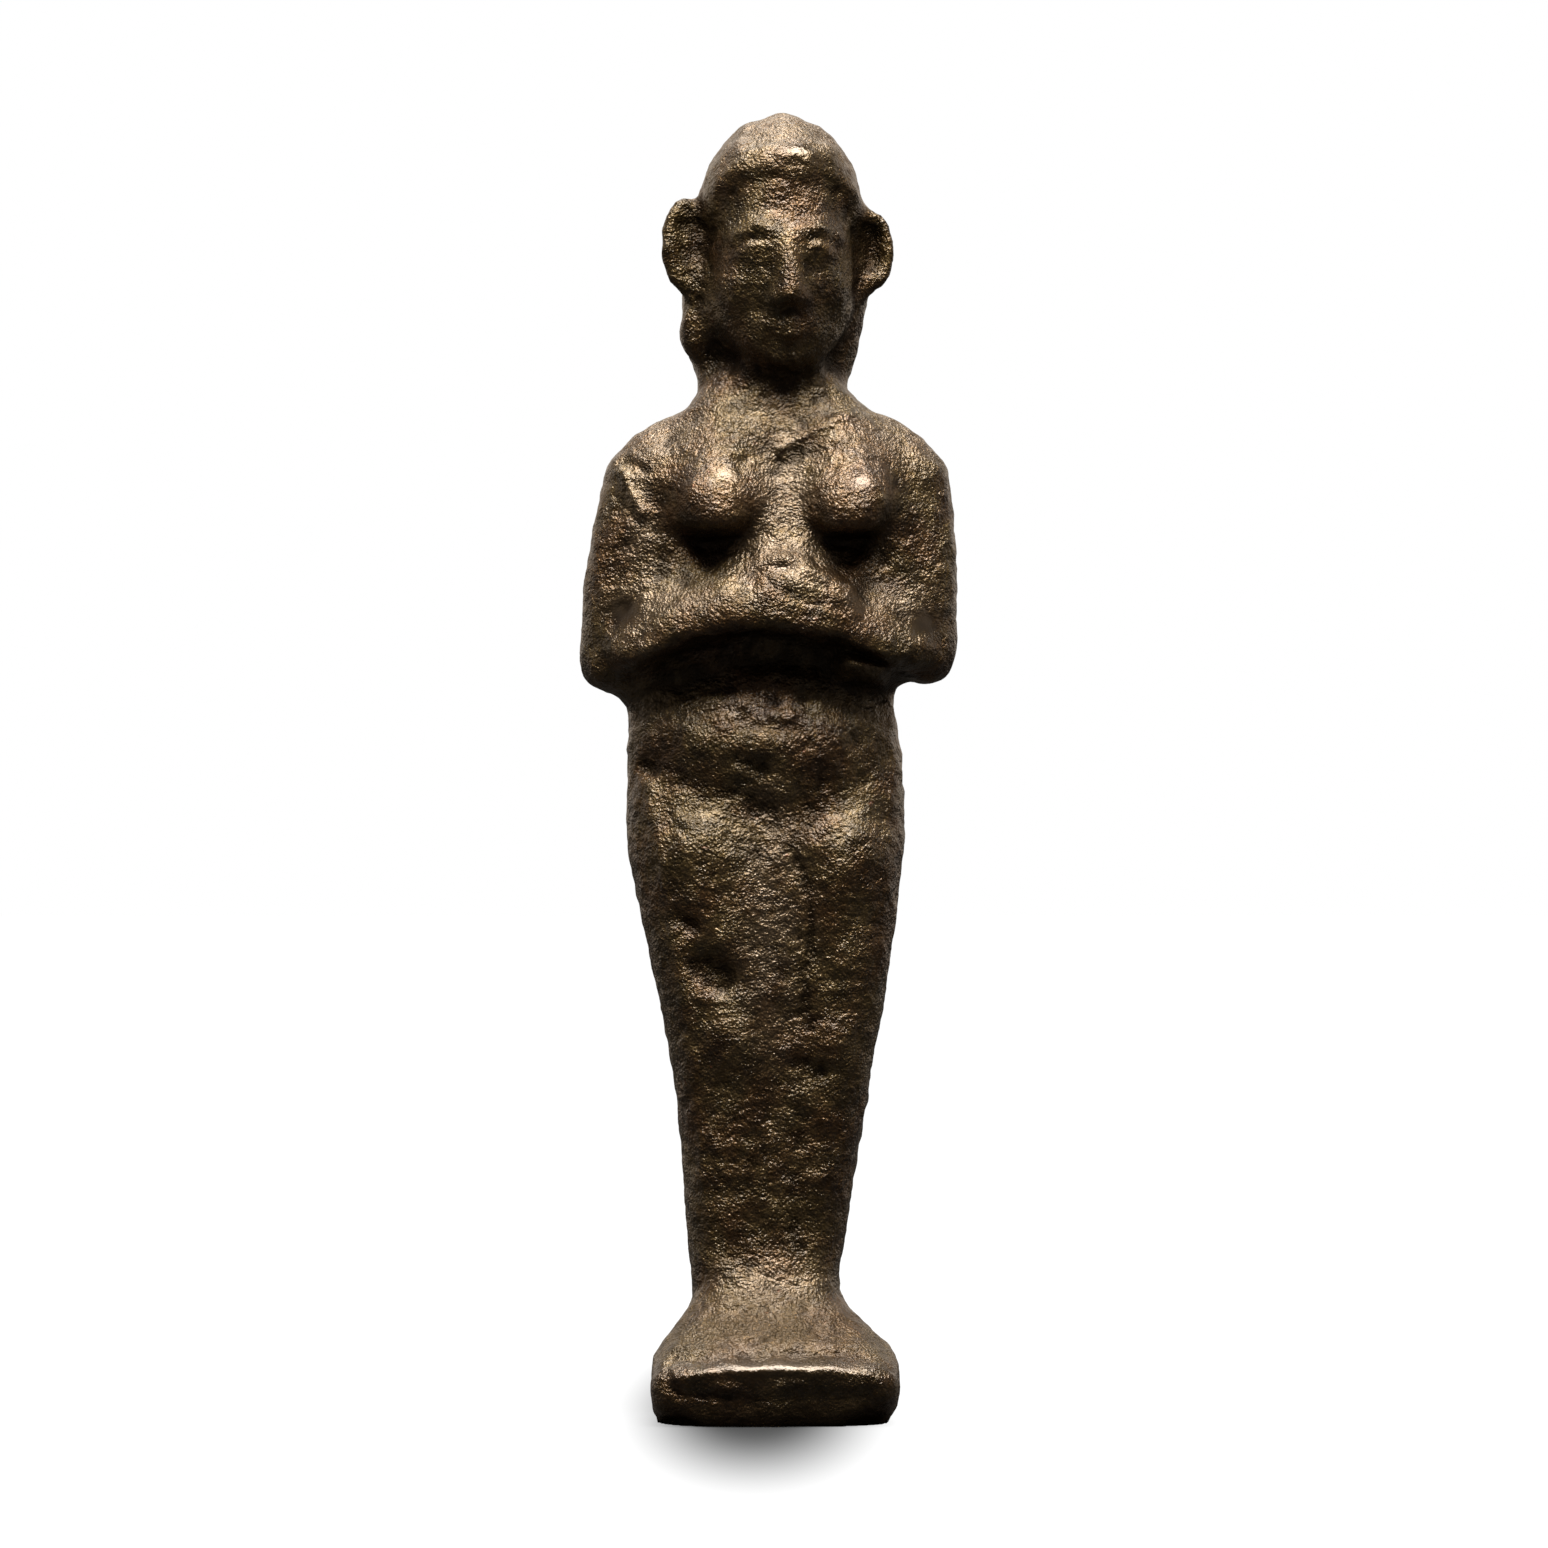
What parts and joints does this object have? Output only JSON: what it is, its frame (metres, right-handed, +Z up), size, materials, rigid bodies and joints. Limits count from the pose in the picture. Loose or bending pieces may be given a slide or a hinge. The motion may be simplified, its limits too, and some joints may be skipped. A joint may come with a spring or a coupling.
{
  "type": "statuette",
  "caption": "Small solid-cast bronze statuette of a standing nude woman, forearms folded and hands joined at the waist, legs running down into a low foot block.",
  "frame": {"origin": "middle of the underside of the foot block, below the legs' axis", "axes": "+Z up to the crown, the figure's front faces -Y, +X is at the viewer's right"},
  "size_m": [0.0304, 0.0205, 0.105],
  "materials": {
    "bronze": "dark olive-brown patina over granular cast bronze, ochre on the worn high places"
  },
  "bodies": {
    "root": {"statuette": "bronze"}
  },
  "joints": []
}
